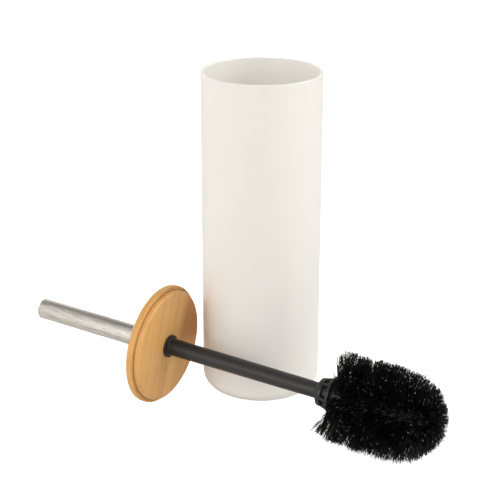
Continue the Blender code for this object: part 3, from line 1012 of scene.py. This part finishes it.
def filament_mesh(name, roots, ways, trims):
    """Closed three-sided filaments, each bent a little and trimmed to length."""
    count = len(roots)
    lengths = trimmed_lengths(roots, ways) + trims + draw.normal(0.0, TRIM_SPREAD, count)
    strays = draw.random(count) < STRAY_SHARE
    lengths += strays * draw.random(count) * STRAY_EXTRA

    # Depth runs down the head, so it's turned over to find heights above the floor.
    root_heights = (roots * (1.0, 1.0, -1.0) + (0.0, 0.0, head_seat)) @ lie[2] + laid.translation.z
    falls = -(ways * (1.0, 1.0, -1.0)) @ lie[2]
    reaches_floor = (root_heights - FLOOR_CLEARANCE) / np.maximum(falls, LEAST_FALL)
    lengths = np.where(falls > 0, np.minimum(lengths, reaches_floor), lengths)

    bends = draw.normal(0.0, BEND, (count, 3)) * (1.0 + STRAY_BEND * strays[:, None])
    bends -= ways * np.sum(bends * ways, axis=1)[:, None]
    aside = np.cross(ways, draw.normal(0.0, 1.0, (count, 3)))
    aside /= np.linalg.norm(aside, axis=1)[:, None]
    other = np.cross(ways, aside)

    share = np.linspace(0.0, 1.0, FILAMENT_RINGS)
    spine = (
        roots[:, None, :]
        + ways[:, None, :] * (lengths[:, None] * share)[:, :, None]
        + bends[:, None, :] * (share ** 2)[None, :, None]
    )
    angles = 2 * math.pi * np.arange(FILAMENT_SIDES) / FILAMENT_SIDES
    section = (
        np.cos(angles)[None, None, :, None] * aside[:, None, None, :]
        + np.sin(angles)[None, None, :, None] * other[:, None, None, :]
    )
    width = FILAMENT_RADIUS * (1.0 - FILAMENT_TAPER * share)[None, :, None, None]
    skin = spine[:, :, None, :] + section * width
    skin[..., 2] = head_seat - skin[..., 2]
    placed = skin.reshape(-1, 3) @ lie.T + np.array(laid.translation)
    placed[:, 2] = np.maximum(placed[:, 2], FLOOR_CLEARANCE)

    tone = draw.random(count)
    faces = []
    corners_uv = []
    per = FILAMENT_RINGS * FILAMENT_SIDES
    for index in range(count):
        first = index * per
        left = UV_MARGIN + UV_SPAN * tone[index]
        for ring in range(FILAMENT_RINGS - 1):
            low = ring / (FILAMENT_RINGS - 1)
            high = (ring + 1) / (FILAMENT_RINGS - 1)
            for side in range(FILAMENT_SIDES):
                near = first + ring * FILAMENT_SIDES
                far = near + FILAMENT_SIDES
                after = (side + 1) % FILAMENT_SIDES
                faces.append((near + side, near + after, far + after, far + side))
                start = left + side * UV_SIDE
                end = start + UV_SIDE
                corners_uv += [(start, low), (end, low), (end, high), (start, high)]
        faces.append(tuple(first + side for side in reversed(range(FILAMENT_SIDES))))
        corners_uv += [(left, 0.0), (left + UV_SIDE, 0.0), (left + UV_SIDE / 2, UV_CAP)]
        last = first + (FILAMENT_RINGS - 1) * FILAMENT_SIDES
        faces.append(tuple(last + side for side in range(FILAMENT_SIDES)))
        corners_uv += [(left, 1.0), (left + UV_SIDE, 1.0), (left + UV_SIDE / 2, 1.0 - UV_CAP)]
    mesh = bpy.data.meshes.new(name)
    mesh.from_pydata(placed.tolist(), [], faces)
    uv_map = mesh.uv_layers.new(name="OFBake")
    uv_map.data.foreach_set("uv", np.array(corners_uv, dtype=np.float32).ravel())
    mesh.shade_smooth()
    mesh.set_sharp_from_angle(angle=math.radians(80))
    return mesh


def filament_black(name):
    """Black filaments in slightly different blacks, greyer at the tip, some with a painted glint."""
    made, tree, shader = new_material(name, metallic=0.0, roughness=0.42)
    shader.inputs["Specular IOR Level"].default_value = 0.3
    strand = add_node(tree, "ShaderNodeUVMap", {"uv_map": "OFBake"})
    parts = add_node(tree, "ShaderNodeSeparateXYZ", links={"Vector": strand.outputs["UV"]})
    which = parts.outputs["X"]
    height = parts.outputs["Y"]
    near_tip = eased(tree, height, GREY_START, 1.0, highest=TIP_GREY)
    # Painted glints: a pale cut end on some filaments, for the highlights on their tips.
    at_end = eased(tree, height, GLINT_START, GLINT_WHOLE)
    glinting = add_node(
        tree, "ShaderNodeMath", {"operation": "LESS_THAN"}, {1: GLINT_SHARE}, {0: which}
    )
    grey_share = with_share(tree, near_tip, which, OWN_GREY, clamped=True)
    tint = add_node(
        tree, "ShaderNodeMix", {"data_type": "RGBA"}, {"A": BRISTLE_BLACK, "B": BRISTLE_GREY},
        {"Factor": grey_share},
    )
    gloss = add_node(
        tree, "ShaderNodeMapRange", None, {"To Min": 0.34, "To Max": 0.52}, {"Value": which}
    )
    glinted = add_node(
        tree, "ShaderNodeMix", {"data_type": "RGBA"}, {"B": BRISTLE_PAINTED_GLINT},
        {"Factor": product(tree, at_end, glinting.outputs["Value"]), "A": tint.outputs["Result"]},
    )
    tree.links.new(glinted.outputs["Result"], shader.inputs["Base Color"])
    tree.links.new(gloss.outputs["Result"], shader.inputs["Roughness"])
    return made


black_filament = filament_black("black_filament")


def add_tufts(name, tufts, node):
    """One piece for a list of tufts, in place of a CAD node."""
    grown = [tuft(*settings, FILAMENTS_IN_TUFT) for settings in tufts]
    roots, ways, trims = [np.concatenate(parts) for parts in zip(*grown)]
    piece = add_object(name, filament_mesh(name, roots, ways, trims))
    piece.data.materials.append(black_filament)
    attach(piece, "head")
    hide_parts(node)


for row in range(ROW_COUNT):
    depth = field_top + (row + 0.5) * ROW_PITCH
    lean = LAST_ROW_LEAN * max(0.0, 1.0 - (ROW_COUNT - 1 - row) / LAST_ROWS)
    pressed = PRESSED_LEAN[row] if row < len(PRESSED_LEAN) else 0.0
    fan = FIRST_FAN if row == 0 else FAN
    bent = BENT_BACK if row == 0 else {}
    tufts = []
    for index in range(TUFTS_IN_ROW):
        angle = 2 * math.pi * (index + 0.5 * (row % 2)) / TUFTS_IN_ROW
        angle += draw.normal(0.0, HOLE_TURN)
        back, wide = bent.get(index, (0.0, fan))
        along = lean - back + draw.normal(0.0, HOLE_LEAN)
        along += pressed * max(0.0, math.cos(angle - PRESSED_SIDE))
        outward = np.array([math.cos(angle), math.sin(angle), along])
        outward /= np.linalg.norm(outward)
        base = np.array([math.cos(angle), math.sin(angle), 0.0]) * (CORE_RADIUS - ROOT_DEPTH)
        base[2] = depth
        tufts.append((base, outward, wide, BENT_TRIM if index in bent else 0.0))
    add_tufts(f"tufts_row_{row + 1:02d}", tufts, f"bristle_row_{row + 1:02d}")

crown_tufts = []
tip_middle = core_length - CORE_TIP_ROUNDING
for polar, number in CROWN_RINGS:
    for index in range(number):
        angle = 2 * math.pi * (index / number + CROWN_TURN)
        spread = polar + draw.normal(0.0, CROWN_UNEVEN)
        outward = np.array([
            math.sin(spread) * math.cos(angle),
            math.sin(spread) * math.sin(angle),
            math.cos(spread),
        ])
        base = outward * (CORE_TIP_ROUNDING - ROOT_DEPTH)
        base[:2] += outward[:2] * (CORE_RADIUS - CORE_TIP_ROUNDING)
        base[2] += tip_middle
        crown_tufts.append((base, outward, CROWN_FAN, 0.0))
add_tufts("tufts_crown", crown_tufts, "bristle_crown")
